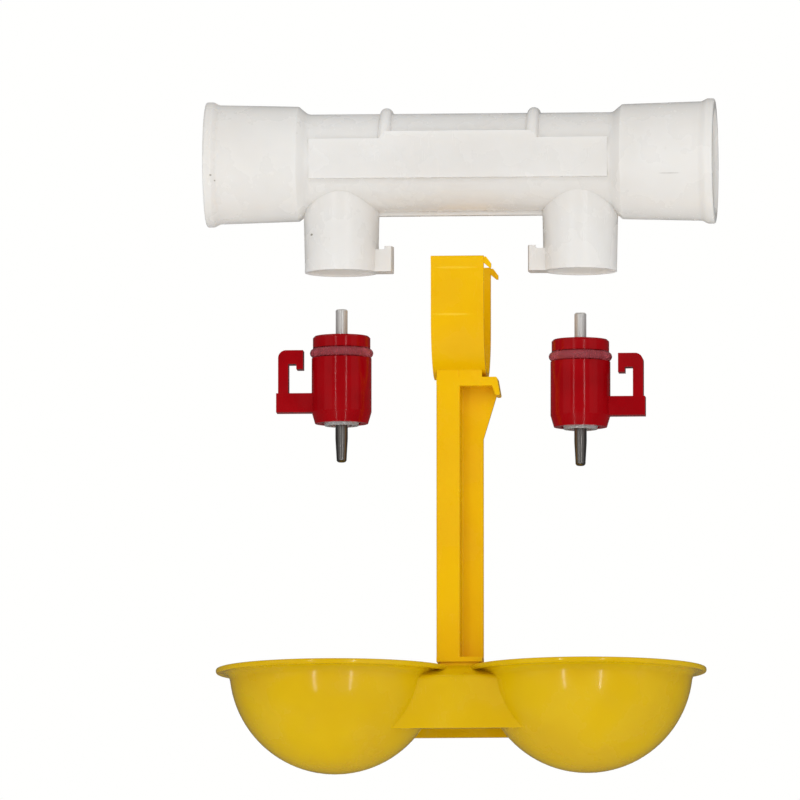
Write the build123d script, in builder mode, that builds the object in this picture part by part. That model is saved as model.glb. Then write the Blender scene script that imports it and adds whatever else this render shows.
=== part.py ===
from build123d import *
import math
import os

# A double nipple drinker for poultry, taken apart in line: a pipe tee, two nipple valves and a hanging cup.
# Millimetres. The origin is the middle of the tee's run, +X runs along the pipe, +Z is up.

# Shared values
overrun = 1.0
face_gap = 0.10
slide_clearance = 0.05
edge_break = 0.3

# Tee: run, sockets and water way
pipe_diameter = 25.0
pipe_clearance = 0.1
tee_length = 128.5
run_radius = 12.5
water_radius = 10.5
socket_length = 23.4
socket_depth = 23.0
socket_root_radius = 14.5
socket_mouth_radius = 15.05
socket_lead_in = 0.8
shoulder_length = 2.4
shoulder_root_round = 2.0
shoulder_round = 0.7
lip_width = 1.9
lip_cone = 1.4
lip_proud = 0.75
lip_round = 0.5

# Tee: flats that the clip grips, collar ribs beside them and the keel below
flat_height = 10.0
flat_inset = 0.8
saddle_rise = 1.8
rib_spacing = 37.2
rib_width = 3.2
rib_proud = 1.45
rib_root = 0.3
keel_width = 2.4
keel_proud = 0.9

# Tee: outlet bosses and their hook lugs
boss_spacing = 60.3
boss_drop = 27.7
boss_mouth_radius = 9.25
boss_draft = 1.2
boss_lead_in = 0.4
valve_seat_depth = 14.8
port_radius = 6.0
lug_reach = 13.2
lug_width = 7.0
lug_height = 5.6
lug_nib_width = 1.6
lug_nib_height = 0.8

# Valve housing, depths counted down from its top face
housing_height = 22.1
housing_radius = 7.55
collar_radius = 7.25
collar_height = 3.0
collar_bevel = 0.5
groove_radius = 5.55
groove_height = 2.6
housing_taper_height = 2.9
housing_foot_radius = 6.7
housing_roof = 2.0
inlet_radius = 2.2
chamber_radius = 4.2
chamber_floor = 9.0
stack_radius = 4.9
ring_section = 2.4

# Side hook on the housing
hook_width = 4.6
hook_bar_depth = 14.5
hook_bar_height = 4.8
hook_reach = 16.4
hook_post_inner = 13.35
hook_post_outer = 15.9
hook_arm_depth = 3.6
hook_arm_height = 3.5
hook_nib_inner = 9.6
hook_nib_outer = 11.3
hook_nib_height = 1.3
hook_corner_round = 2.0

# Stack inside the housing, from the valve seal down
valve_seal_height = 1.4
valve_seal_hole = 2.0
valve_seat_height = 0.8
spacer_height = 6.0
spacer_wall = 0.9
trigger_seal_height = 1.2
trigger_seal_hole = 2.4
washer_radius = 4.3
washer_hole = 3.1
washer_proud = 0.6

# Upper pin
valve_pin_radius = 1.5
valve_pin_proud = 6.8
valve_head_radius = 3.2
valve_head_rim = 0.8
valve_head_cone = 1.2
valve_tail_radius = 1.2

# Lower pin
trigger_head_radius = 3.0
trigger_head_flat = 0.6
trigger_stem_radius = 1.57
trigger_tip_radius = 1.27
trigger_tip_taper = 6.0
trigger_proud = 9.2

# Hanger arm: clip, ledge, Z-section and tongue
clip_width = 13.3
clip_wall = 1.7
clip_rise = 14.6
clip_clearance = 0.15
clip_floor_drop = 0.95
clip_flare = 0.8
clip_flare_height = 3.0
clip_lip_round = 0.6
clip_ear_reach = 1.9
clip_ear_drop = 2.7
clip_ear_thickness = 1.0
clip_ear_depth = 1.2
clip_ear_root = 1.5
arm_width = 11.5
arm_front = 7.0
arm_back = 0.6
arm_wall = 1.6
arm_web_offset = 0.2
arm_foot = 1.2
arm_edge_round = 0.5
arm_bottom_drop = 87.2
ledge_reach = 10.3
ledge_thickness = 2.2
ledge_lip = 1.2
ledge_lip_drop = 4.6
ledge_lip_lean = 0.8
gusset_foot_drop = 32.0
tongue_bowl_gap = 0.8
tongue_front = 5.8
tongue_back = 0.2
tongue_length = 9.0
neck_height = 1.0
neck_margin = 0.4

# Double cup: bowls, rolled rims and the hollow bridge
bowl_gap = 10.4
bowl_radius = 26.6
bowl_wall = 1.5
rim_overhang = 3.4
rim_thickness = 1.3
rim_round = 0.5
rim_flare = 2.0
rim_inner_round = 1.2
bridge_depth = 29.0
bridge_height = 16.4
bridge_wall = 1.6
bridge_shoulder = 3.2

# How far each piece hangs below its working place
left_valve_drop = 30.5
right_valve_drop = 31.8
cup_drop = 39.7

# Worked out from the values above
half_length = tee_length / 2
half_boss = boss_spacing / 2
half_bowl = bowl_radius + bowl_gap / 2
pipe_radius = pipe_diameter / 2
socket_bore_radius = pipe_radius + pipe_clearance
housing_top_home = -boss_drop + hook_bar_depth - face_gap
ring_radius = ring_section / 2
ring_centre_radius = groove_radius + slide_clearance + ring_radius
boss_bore_radius = ring_centre_radius + ring_radius + slide_clearance
ring_depth = collar_height + groove_height / 2
seal_floor = chamber_floor + valve_seal_height
seat_floor = seal_floor + valve_seat_height
spacer_floor = seat_floor + spacer_height
trigger_seal_floor = spacer_floor + trigger_seal_height
washer_floor = housing_height + washer_proud
pivot_rise = math.sqrt(trigger_head_radius**2 - trigger_seal_hole**2) + slide_clearance
pivot_depth = spacer_floor - pivot_rise
clip_inner = run_radius + clip_clearance
clip_outer = clip_inner + clip_wall
clip_straight = flat_height / 2 + clip_clearance

os.makedirs("parts", exist_ok=True)


def upright_plane(x, z):
    """The plane through an upright axis at x, with its own X to the right and its own Y up."""
    return Plane(origin=(x, 0, z), x_dir=(1, 0, 0), z_dir=(0, -1, 0))


def upright_axis(x):
    """The upright axis of a valve or a bowl at x."""
    return Axis((x, 0, 0), (0, 0, 1))


def save(piece, name):
    """Labels a finished piece and writes it."""
    piece.part.label = name
    export_step(piece.part, f"parts/{name}.step")


# Tee fitting
shoulder_start = half_length - socket_length - shoulder_length
shoulder_end = half_length - socket_length
lip_start = half_length - lip_width
cone_start = lip_start - lip_cone
lip_radius = socket_mouth_radius + lip_proud
flat_half = flat_height / 2
saddle_top = flat_half + saddle_rise
flat_length = 2 * (shoulder_start - flat_inset)

# Collar ribs: rings with a round crown, kept only where they arch over the top from flat to flat
with BuildPart() as collar_ribs:
    for rib_side in (-1, 1):
        rib_middle = rib_side * rib_spacing / 2
        with BuildSketch(Plane.XZ):
            with BuildLine():
                crown = ThreePointArc(
                    (rib_middle - rib_width / 2, run_radius - rib_root),
                    (rib_middle, run_radius + rib_proud),
                    (rib_middle + rib_width / 2, run_radius - rib_root),
                )
                Line(crown @ 1, crown @ 0)
            make_face()
        revolve(axis=Axis.X)
    with BuildSketch(Plane.XY.offset(flat_half)):
        Rectangle(tee_length, 2 * run_radius)
    extrude(amount=2 * run_radius, mode=Mode.INTERSECT)

with BuildPart() as tee_fitting:
    with BuildSketch(Plane.XZ):
        with BuildLine():
            outer = FilletPolyline(
                (0, run_radius),
                (shoulder_start, run_radius),
                (shoulder_end, socket_root_radius),
                (cone_start, socket_mouth_radius),
                (lip_start, lip_radius),
                (half_length, lip_radius),
                (half_length, 0),
                radius=[shoulder_root_round, shoulder_round, lip_cone, lip_cone, lip_round],
            )
            Polyline(outer @ 1, (0, 0), outer @ 0)
        make_face()
        mirror(about=Plane.YZ)
    revolve(axis=Axis.X)

    # Front and back flats, higher between the collar ribs
    with BuildSketch(Plane.XY.offset(-flat_half)):
        Rectangle(flat_length, 2 * run_radius)
    extrude(amount=flat_height)
    with BuildSketch(Plane.XY):
        Rectangle(rib_spacing, 2 * run_radius)
    extrude(amount=saddle_top)

    add(collar_ribs.part)

    # Keel along the bottom between the bosses
    with BuildSketch(Plane.XY.offset(-run_radius - keel_proud)):
        Rectangle(boss_spacing, keel_width)
    extrude(amount=run_radius)

    # Outlet bosses, drafted so that they widen upwards
    with BuildSketch(Plane.XY.offset(-boss_drop)):
        with Locations((-half_boss, 0), (half_boss, 0)):
            Circle(boss_mouth_radius)
    extrude(amount=boss_drop, taper=-boss_draft)

    # Hook lugs on the inner side of each boss, with a raised nib along the outer edge
    for boss_side in (-1, 1):
        lug_middle = boss_side * (half_boss - lug_reach / 2)
        with BuildSketch(Plane.XY.offset(-boss_drop)):
            with Locations((boss_side * half_boss, 0)):
                Circle(lug_reach)
            with Locations((lug_middle, 0)):
                Rectangle(lug_reach, lug_width, mode=Mode.INTERSECT)
        extrude(amount=lug_height)
        with BuildSketch(Plane.XY.offset(lug_height - boss_drop)):
            with Locations((boss_side * half_boss, 0)):
                Circle(lug_reach)
                Circle(lug_reach - lug_nib_width, mode=Mode.SUBTRACT)
            with Locations((lug_middle, 0)):
                Rectangle(lug_reach, lug_width, mode=Mode.INTERSECT)
        extrude(amount=lug_nib_height)

    # Water way, pipe sockets, boss bores and ports
    with BuildSketch(Plane.XZ):
        with BuildLine():
            Polyline(
                (0, 0),
                (0, water_radius),
                (half_length - socket_depth, water_radius),
                (half_length - socket_depth, socket_bore_radius),
                (half_length - socket_lead_in, socket_bore_radius),
                (half_length, socket_bore_radius + socket_lead_in),
                (half_length + overrun, socket_bore_radius + socket_lead_in),
                (half_length + overrun, 0),
                close=True,
            )
        make_face()
        mirror(about=Plane.YZ)
    revolve(axis=Axis.X, mode=Mode.SUBTRACT)
    for boss_side in (-1, 1):
        with BuildSketch(upright_plane(boss_side * half_boss, -boss_drop)):
            with BuildLine():
                Polyline(
                    (0, -overrun),
                    (boss_bore_radius + boss_lead_in, -overrun),
                    (boss_bore_radius + boss_lead_in, 0),
                    (boss_bore_radius, boss_lead_in),
                    (boss_bore_radius, valve_seat_depth),
                    (port_radius, valve_seat_depth),
                    (port_radius, boss_drop),
                    (0, boss_drop),
                    close=True,
                )
            make_face()
        revolve(axis=upright_axis(boss_side * half_boss), mode=Mode.SUBTRACT)

save(tee_fitting, "tee_fitting")


def build_housing(name, axis_x, top, hook_side):
    """The red housing of one valve: a grooved body with a stepped bore and a C-shaped side hook."""
    with BuildPart() as housing:
        with BuildSketch(upright_plane(axis_x, top)):
            with BuildLine():
                Polyline(
                    (0, 0),
                    (collar_radius - collar_bevel, 0),
                    (collar_radius, -collar_bevel),
                    (collar_radius, -collar_height),
                    (groove_radius, -collar_height),
                    (groove_radius, -collar_height - groove_height),
                    (housing_radius, -collar_height - groove_height),
                    (housing_radius, housing_taper_height - housing_height),
                    (housing_foot_radius, -housing_height),
                    (0, -housing_height),
                    close=True,
                )
            make_face()
        revolve(axis=upright_axis(axis_x))

        bar_bottom = hook_bar_depth + hook_bar_height
        arm_bottom = hook_arm_depth + hook_arm_height
        with BuildSketch(upright_plane(axis_x, top)):
            with BuildLine():
                hook_points = [
                    (stack_radius, -bar_bottom),
                    (hook_reach, -bar_bottom),
                    (hook_reach, -hook_bar_depth),
                    (hook_post_outer, -hook_bar_depth),
                    (hook_post_outer, -hook_arm_depth),
                    (hook_nib_inner, -hook_arm_depth),
                    (hook_nib_inner, -arm_bottom - hook_nib_height),
                    (hook_nib_outer, -arm_bottom - hook_nib_height),
                    (hook_nib_outer, -arm_bottom),
                    (hook_post_inner, -arm_bottom),
                    (hook_post_inner, -hook_bar_depth),
                    (stack_radius, -hook_bar_depth),
                ]
                Polyline(*[(hook_side * reach, height) for reach, height in hook_points], close=True)
            make_face()
        extrude(amount=hook_width / 2, both=True)
        far_corner = (
            housing.edges()
            .filter_by(Axis.Y)
            .sort_by_distance((axis_x + hook_side * hook_post_outer, 0, top - hook_arm_depth))[0]
        )
        fillet(far_corner, radius=hook_corner_round)

        with BuildSketch(upright_plane(axis_x, top)):
            with BuildLine():
                Polyline(
                    (0, overrun),
                    (inlet_radius, overrun),
                    (inlet_radius, -housing_roof),
                    (chamber_radius, -housing_roof),
                    (chamber_radius, -chamber_floor),
                    (stack_radius, -chamber_floor),
                    (stack_radius, -housing_height - overrun),
                    (0, -housing_height - overrun),
                    close=True,
                )
            make_face()
        revolve(axis=upright_axis(axis_x), mode=Mode.SUBTRACT)
    save(housing, name)


def build_ring(name, axis_x, top, depths, outer, hole):
    """A plain ring of the inner stack between two depths."""
    with BuildPart() as ring:
        with BuildSketch(Plane.XY.offset(top - depths[1])):
            with Locations((axis_x, 0)):
                Circle(outer)
                Circle(hole, mode=Mode.SUBTRACT)
        extrude(amount=depths[1] - depths[0])
    save(ring, name)


def build_washer(name, axis_x, top):
    """The clear plug that holds the stack in, with a narrower nose that shows below the housing."""
    with BuildPart() as washer:
        with BuildSketch(upright_plane(axis_x, top)):
            with BuildLine():
                Polyline(
                    (washer_hole, -trigger_seal_floor),
                    (stack_radius, -trigger_seal_floor),
                    (stack_radius, -housing_height + washer_proud),
                    (washer_radius, -housing_height),
                    (washer_radius, -washer_floor),
                    (washer_hole, -washer_floor),
                    close=True,
                )
            make_face()
        revolve(axis=upright_axis(axis_x))
    save(washer, name)


def build_o_ring(name, axis_x, top):
    """The ring in the housing's groove."""
    with BuildPart() as o_ring:
        with BuildSketch(upright_plane(axis_x, top)):
            with Locations((ring_centre_radius, -ring_depth)):
                Circle(ring_radius)
        revolve(axis=upright_axis(axis_x))
    save(o_ring, name)


def build_valve_pin(name, axis_x, top):
    """The upper pin: a plain shank, a cone head that closes on the seal and a round-ended tail."""
    tail_end = pivot_depth - trigger_head_flat - face_gap
    with BuildPart() as valve_pin:
        with BuildSketch(upright_plane(axis_x, top)):
            with BuildLine():
                shank = Polyline(
                    (0, valve_pin_proud),
                    (valve_pin_radius - edge_break, valve_pin_proud),
                    (valve_pin_radius, valve_pin_proud - edge_break),
                    (valve_pin_radius, valve_head_rim + valve_head_cone - chamber_floor),
                    (valve_head_radius, valve_head_rim - chamber_floor),
                    (valve_head_radius, -chamber_floor),
                    (valve_tail_radius, -chamber_floor),
                    (valve_tail_radius, valve_tail_radius - tail_end),
                )
                tail = RadiusArc(shank @ 1, (0, -tail_end), valve_tail_radius)
                Line(tail @ 1, shank @ 0)
            make_face()
        revolve(axis=upright_axis(axis_x))
    save(valve_pin, name)


def build_trigger_pin(name, axis_x, top):
    """The lower pin: a round head cut flat on top, a stem and a tapered tip with a round end."""
    tip = pivot_depth - washer_floor - trigger_proud
    neck = -math.sqrt(trigger_head_radius**2 - trigger_stem_radius**2)
    brow = math.sqrt(trigger_head_radius**2 - trigger_head_flat**2)
    with BuildPart() as trigger_pin:
        with BuildSketch(upright_plane(axis_x, top - pivot_depth)):
            with BuildLine():
                head = ThreePointArc(
                    (brow, trigger_head_flat),
                    (trigger_head_radius, 0),
                    (trigger_stem_radius, neck),
                )
                stem = Polyline(
                    head @ 1,
                    (trigger_stem_radius, tip + trigger_tip_taper),
                    (trigger_tip_radius, tip + trigger_tip_radius),
                )
                end = RadiusArc(stem @ 1, (0, tip), trigger_tip_radius)
                Polyline(end @ 1, (0, trigger_head_flat), head @ 0)
            make_face()
        revolve(axis=upright_axis(axis_x))
    save(trigger_pin, name)


valves = (
    ("left", -half_boss, housing_top_home - left_valve_drop, -1),
    ("right", half_boss, housing_top_home - right_valve_drop, 1),
)
spacer_hole = stack_radius - spacer_wall
for side, axis_x, top, hook_side in valves:
    build_housing(f"{side}_valve_housing", axis_x, top, hook_side)
    build_o_ring(f"{side}_o_ring", axis_x, top)
    build_valve_pin(f"{side}_valve_pin", axis_x, top)
    build_ring(
        f"{side}_valve_seal", axis_x, top, (chamber_floor, seal_floor), stack_radius, valve_seal_hole
    )
    build_ring(
        f"{side}_valve_seat", axis_x, top, (seal_floor, seat_floor), stack_radius, valve_seal_hole
    )
    build_ring(
        f"{side}_spacer_sleeve", axis_x, top, (seat_floor, spacer_floor), stack_radius, spacer_hole
    )
    build_ring(
        f"{side}_trigger_seal",
        axis_x,
        top,
        (spacer_floor, trigger_seal_floor),
        stack_radius,
        trigger_seal_hole,
    )
    build_trigger_pin(f"{side}_trigger_pin", axis_x, top)
    build_washer(f"{side}_retaining_washer", axis_x, top)


# Hanger arm
cradle = -cup_drop
cradle_floor = clip_floor_drop + clip_outer
half_clip = clip_width / 2
half_arm = arm_width / 2
ledge_floor = cradle_floor + ledge_thickness
flare_start = clip_rise - clip_flare_height
web_left = arm_web_offset - arm_wall
tongue_width = bowl_gap - 2 * tongue_bowl_gap
tongue_depth = tongue_front + tongue_back
tongue_middle = (tongue_back - tongue_front) / 2

with BuildPart() as hanger_arm:
    # Z-section: a front flange on the left and a back flange on the right, joined by the web
    with BuildSketch(Plane.XY.offset(cradle - arm_bottom_drop)):
        with BuildLine():
            FilletPolyline(
                (-half_arm, -arm_front),
                (arm_web_offset, -arm_front),
                (arm_web_offset, arm_back - arm_wall),
                (half_arm, arm_back - arm_wall),
                (half_arm, arm_back),
                (web_left, arm_back),
                (web_left, arm_wall - arm_front),
                (-half_arm, arm_wall - arm_front),
                radius=arm_edge_round,
                close=True,
            )
        make_face()
    extrude(amount=arm_bottom_drop - clip_floor_drop)

    # Foot that closes the section, and the front wall that carries the clip above the ledge
    arm_middle = (arm_back - arm_front) / 2
    with BuildSketch(Plane.XY.offset(cradle - arm_bottom_drop)):
        with Locations((0, arm_middle)):
            Rectangle(arm_width, arm_front + arm_back)
    extrude(amount=arm_foot)
    with BuildSketch(Plane.XY.offset(cradle - ledge_floor)):
        with Locations((half_arm / 2, arm_wall / 2 - arm_front)):
            Rectangle(half_arm, arm_wall)
    extrude(amount=ledge_floor - clip_floor_drop)

    # Ledge right under the clip, with a drooping lip at its right end
    with BuildSketch(Plane.XZ.offset(arm_front)):
        with BuildLine():
            FilletPolyline(
                (-half_arm, cradle - cradle_floor),
                (ledge_reach - ledge_lip_lean, cradle - cradle_floor),
                (ledge_reach, cradle - cradle_floor - ledge_lip_drop),
                (ledge_reach - ledge_lip, cradle - cradle_floor - ledge_lip_drop),
                (ledge_reach - ledge_lip_lean - ledge_lip, cradle - ledge_floor),
                (-half_arm, cradle - ledge_floor),
                radius=ledge_lip / 3,
                close=True,
            )
        make_face()
    extrude(amount=-(arm_front + arm_back))

    # Gusset in the plane of the back flange, from the ledge's lip down to the arm
    with BuildSketch(Plane.XZ.offset(arm_wall - arm_back)):
        with BuildLine():
            Polyline(
                (arm_web_offset, cradle - cradle_floor - ledge_lip / 2),
                (ledge_reach - ledge_lip, cradle - cradle_floor - ledge_lip / 2),
                (ledge_reach - ledge_lip, cradle - cradle_floor - ledge_lip_drop + ledge_lip / 2),
                (half_arm - arm_edge_round, cradle - gusset_foot_drop),
                (arm_web_offset, cradle - gusset_foot_drop),
                close=True,
            )
        make_face()
    extrude(amount=-arm_wall)

    # Clip: a U that opens upwards, with jaws that flare out at the top
    with BuildSketch(Plane.YZ):
        with BuildLine():
            outside = Polyline(
                (-clip_outer, cradle - clip_floor_drop),
                (-clip_outer, cradle + flare_start),
                (-clip_outer - clip_flare, cradle + clip_rise),
                (clip_outer + clip_flare, cradle + clip_rise),
                (clip_outer, cradle + flare_start),
                (clip_outer, cradle - clip_floor_drop),
            )
            ThreePointArc(
                outside @ 1,
                (0, cradle - cradle_floor),
                outside @ 0,
            )
        make_face()
    extrude(amount=half_clip, both=True)
    with BuildSketch(Plane.YZ):
        with BuildLine():
            mouth = Polyline(
                (-clip_inner, cradle - clip_straight),
                (-clip_inner, cradle + flare_start),
                (-clip_inner - clip_flare, cradle + clip_rise),
                (-clip_inner - clip_flare, cradle + clip_rise + overrun),
                (clip_inner + clip_flare, cradle + clip_rise + overrun),
                (clip_inner + clip_flare, cradle + clip_rise),
                (clip_inner, cradle + flare_start),
                (clip_inner, cradle - clip_straight),
            )
            ThreePointArc(
                mouth @ 1,
                (0, cradle - clip_floor_drop - clip_inner),
                mouth @ 0,
            )
        make_face()
    extrude(amount=half_clip + overrun, both=True, mode=Mode.SUBTRACT)
    top_edges = hanger_arm.edges().filter_by(Axis.X).group_by(Axis.Z)[-1].sort_by(Axis.Y)
    fillet([top_edges[0], top_edges[-1]], radius=clip_lip_round)

    # A small drooping ear at the right end of each jaw's top edge
    ear_top = cradle + clip_rise - clip_lip_round / 2
    ear_tip = half_clip + clip_ear_reach
    ear_middle = clip_inner + (clip_flare + clip_wall) / 2
    for jaw_side in (-1, 1):
        with BuildSketch(Plane.XZ.offset(-jaw_side * ear_middle)):
            with BuildLine():
                Polyline(
                    (half_clip - clip_ear_thickness, ear_top),
                    (half_clip + clip_ear_reach / 3, ear_top),
                    (ear_tip, ear_top - clip_ear_drop + clip_ear_thickness),
                    (ear_tip, ear_top - clip_ear_drop),
                    (ear_tip - clip_ear_thickness / 2, ear_top - clip_ear_drop),
                    (half_clip, ear_top - clip_ear_root),
                    (half_clip - clip_ear_thickness, ear_top - clip_ear_root),
                    close=True,
                )
            make_face()
        extrude(amount=clip_ear_depth / 2, both=True)

    # Neck that stands on the bridge, and the tongue below it that plugs in
    with BuildSketch(Plane.XY.offset(cradle - arm_bottom_drop)):
        with Locations((0, tongue_middle)):
            Rectangle(tongue_width + 2 * neck_margin, tongue_depth + 2 * neck_margin)
    extrude(amount=-neck_height)
    with BuildSketch(Plane.XY.offset(cradle - arm_bottom_drop - neck_height)):
        with Locations((0, tongue_middle)):
            Rectangle(tongue_width, tongue_depth)
    extrude(amount=-tongue_length)

save(hanger_arm, "hanger_arm")


# Double cup
rim_plane = cradle - arm_bottom_drop - neck_height
rim_radius = bowl_radius + rim_overhang
bowl_inner = bowl_radius - bowl_wall
bowl_lip_radius = math.sqrt(bowl_radius**2 - rim_thickness**2)

with BuildPart() as double_cup:
    # Bridge between the bowls: a roof on the front and back walls, open below
    with BuildSketch(Plane.YZ):
        with BuildLine():
            roof = FilletPolyline(
                (-bridge_depth / 2, rim_plane - bridge_height),
                (-bridge_depth / 2, rim_plane - bridge_shoulder),
                (-arm_front, rim_plane),
                (arm_front, rim_plane),
                (bridge_depth / 2, rim_plane - bridge_shoulder),
                (bridge_depth / 2, rim_plane - bridge_height),
                radius=bridge_wall,
            )
            Line(roof @ 1, roof @ 0)
        make_face()
    extrude(amount=half_bowl, both=True)
    with BuildSketch(Plane.YZ):
        with BuildLine():
            hollow_half = bridge_depth / 2 - bridge_wall
            Polyline(
                (-hollow_half, rim_plane - bridge_height - overrun),
                (-hollow_half, rim_plane - bridge_shoulder - bridge_wall),
                (-arm_front, rim_plane - bridge_wall),
                (arm_front, rim_plane - bridge_wall),
                (hollow_half, rim_plane - bridge_shoulder - bridge_wall),
                (hollow_half, rim_plane - bridge_height - overrun),
                close=True,
            )
        make_face()
    extrude(amount=half_bowl, both=True, mode=Mode.SUBTRACT)
    for bowl_side in (-1, 1):
        with BuildSketch(upright_plane(bowl_side * half_bowl, rim_plane)):
            with BuildLine():
                clear_side = Polyline(
                    (0, -bowl_radius),
                    (0, bridge_height),
                    (bowl_radius, bridge_height),
                    (bowl_radius, 0),
                )
                RadiusArc(clear_side @ 1, clear_side @ 0, bowl_radius)
            make_face()
        revolve(axis=upright_axis(bowl_side * half_bowl), mode=Mode.SUBTRACT)

    # Bowls: half spheres whose walls flare out into a thin rim
    for bowl_side in (-1, 1):
        with BuildSketch(upright_plane(bowl_side * half_bowl, rim_plane)) as bowl_section:
            with BuildLine():
                inner = RadiusArc((0, -bowl_inner), (bowl_inner, 0), -bowl_inner)
                rim = Polyline(
                    inner @ 1,
                    (rim_radius, 0),
                    (rim_radius, -rim_thickness),
                    (bowl_lip_radius, -rim_thickness),
                )
                outer = RadiusArc(rim @ 1, (0, -bowl_radius), bowl_radius)
                Line(outer @ 1, inner @ 0)
            make_face()
            for corner_radius, corner_depth, corner_round in (
                (bowl_inner, 0, rim_inner_round),
                (bowl_lip_radius, rim_thickness, rim_flare),
                (rim_radius, 0, rim_round),
                (rim_radius, rim_thickness, rim_round),
            ):
                corners = bowl_section.vertices().sort_by_distance((corner_radius, -corner_depth, 0))
                fillet(corners[0], radius=corner_round)
        revolve(axis=upright_axis(bowl_side * half_bowl))

    # Slot for the arm's tongue, through the roof and the rims that meet there
    with BuildSketch(Plane.XY.offset(rim_plane + overrun)):
        with Locations((0, tongue_middle)):
            Rectangle(tongue_width + 2 * slide_clearance, tongue_depth + 2 * slide_clearance)
    extrude(amount=-rim_thickness - rim_flare - 2 * overrun, mode=Mode.SUBTRACT)

save(double_cup, "double_cup")
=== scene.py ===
"""The looks of a double nipple drinker for poultry, taken apart in line.

A milky pipe tee stands above two red nipple valves and a yellow hanging double cup. The moulded
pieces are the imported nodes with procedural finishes. The turned pins, the seal rings and the clear
plugs are surfaces worked out here from their profiles. Lengths are in metres.
"""

import logging
import math
from dataclasses import dataclass, field
from enum import Enum

import bpy
import numpy as np
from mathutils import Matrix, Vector


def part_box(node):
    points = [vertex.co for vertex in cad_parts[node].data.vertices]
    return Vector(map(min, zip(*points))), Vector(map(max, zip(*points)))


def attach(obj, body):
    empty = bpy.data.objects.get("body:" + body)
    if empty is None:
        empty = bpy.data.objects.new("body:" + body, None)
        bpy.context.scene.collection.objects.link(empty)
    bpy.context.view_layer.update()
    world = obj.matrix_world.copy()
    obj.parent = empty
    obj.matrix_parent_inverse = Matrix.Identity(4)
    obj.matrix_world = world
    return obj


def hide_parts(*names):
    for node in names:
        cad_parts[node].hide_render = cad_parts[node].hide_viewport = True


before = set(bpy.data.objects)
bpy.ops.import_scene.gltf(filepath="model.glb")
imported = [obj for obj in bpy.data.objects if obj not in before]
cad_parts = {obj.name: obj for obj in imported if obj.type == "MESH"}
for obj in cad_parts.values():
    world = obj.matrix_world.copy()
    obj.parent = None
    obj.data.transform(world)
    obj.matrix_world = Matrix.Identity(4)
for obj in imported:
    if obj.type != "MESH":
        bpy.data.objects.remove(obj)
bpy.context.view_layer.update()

MM = 0.001
Colour = tuple[float, float, float]
Place = tuple[float, float, float]

# The numbers of a Mix node's factor, first colour, second colour and result
MIX_INPUTS = (0, 6, 7)
MIX_OUTPUT = 2
# Above 50, the large faces steer the weighted normals
LARGE_FACE_WEIGHT = 80
NO_TRIANGLES = np.zeros((0, 3), dtype=int)

log = logging.getLogger("drinker")


class Side(Enum):
    """The end of the tee that a valve belongs to."""

    LEFT = "left"
    RIGHT = "right"


class Slot(Enum):
    """The names of the record's material slots that the new pieces' finishes share."""

    STEEL = "polished_steel"
    RUBBER = "clear_rubber"
    CLEAR = "clear_plastic"


# Node groups shared by the finishes


def new_group(name: str, inputs: dict[str, tuple[str, object]], outputs: dict[str, str]) -> tuple:
    """Starts a shader node group with named sockets.

    Args:
        name: The group's name.
        inputs: The kind and the starting value of each input socket.
        outputs: The kind of each output socket.

    Returns:
        The group, its input node and its output node.
    """
    group = bpy.data.node_groups.new(name, "ShaderNodeTree")
    for label, (kind, value) in inputs.items():
        socket = group.interface.new_socket(label, in_out="INPUT", socket_type=kind)
        if value is not None:
            socket.default_value = value
    for label, kind in outputs.items():
        group.interface.new_socket(label, in_out="OUTPUT", socket_type=kind)
    return group, group.nodes.new("NodeGroupInput"), group.nodes.new("NodeGroupOutput")


def opaque(colour: Colour) -> tuple[float, float, float, float]:
    """The colour with full alpha."""
    return (*colour, 1.0)


def feed(tree: bpy.types.NodeTree, target: bpy.types.NodeSocket, value: object) -> None:
    """Gives a node's input its value.

    Args:
        tree: The node's tree.
        target: The input.
        value: A socket that is linked to it, or a value that is set.
    """
    if isinstance(value, bpy.types.NodeSocket):
        tree.links.new(value, target)
    else:
        target.default_value = value


def set_inputs(node: bpy.types.Node, values: dict[str, object]) -> None:
    """Sets inputs of a node by their names."""
    for label, value in values.items():
        node.inputs[label].default_value = value


def add_math(tree: bpy.types.NodeTree, operation: str, first: object, second: object) -> object:
    """Adds a Math node.

    Args:
        tree: The tree that gets the node.
        operation: The node's operation.
        first: A number or a socket.
        second: A number or a socket.

    Returns:
        The node's output socket.
    """
    node = tree.nodes.new("ShaderNodeMath")
    node.operation = operation
    feed(tree, node.inputs[0], first)
    feed(tree, node.inputs[1], second)
    return node.outputs[0]


def add_vector_math(tree: bpy.types.NodeTree, operation: str, first: object, second: object = None) -> object:
    """Adds a Vector Math node.

    Args:
        tree: The tree that gets the node.
        operation: The node's operation.
        first: A vector or a socket.
        second: A vector, a socket or nothing.

    Returns:
        The socket with the resulting vector, or with the number if the operation is a length.
    """
    node = tree.nodes.new("ShaderNodeVectorMath")
    node.operation = operation
    feed(tree, node.inputs[0], first)
    if second is not None:
        feed(tree, node.inputs[1], second)
    return node.outputs["Value" if operation == "LENGTH" else "Vector"]


def add_ramp(tree: bpy.types.NodeTree, value: object, span: tuple, target: tuple = (0.0, 1.0)) -> object:
    """Adds a smooth Map Range node.

    Args:
        tree: The tree that gets the node.
        value: The socket that is mapped.
        span: The values that map to the target's ends, numbers or sockets.
        target: The two ends of the result, numbers or sockets.

    Returns:
        The node's output socket.
    """
    node = tree.nodes.new("ShaderNodeMapRange")
    node.interpolation_type = "SMOOTHSTEP"
    tree.links.new(value, node.inputs["Value"])
    for label, end in zip(("From Min", "From Max", "To Min", "To Max"), (*span, *target)):
        feed(tree, node.inputs[label], end)
    return node.outputs["Result"]


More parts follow.
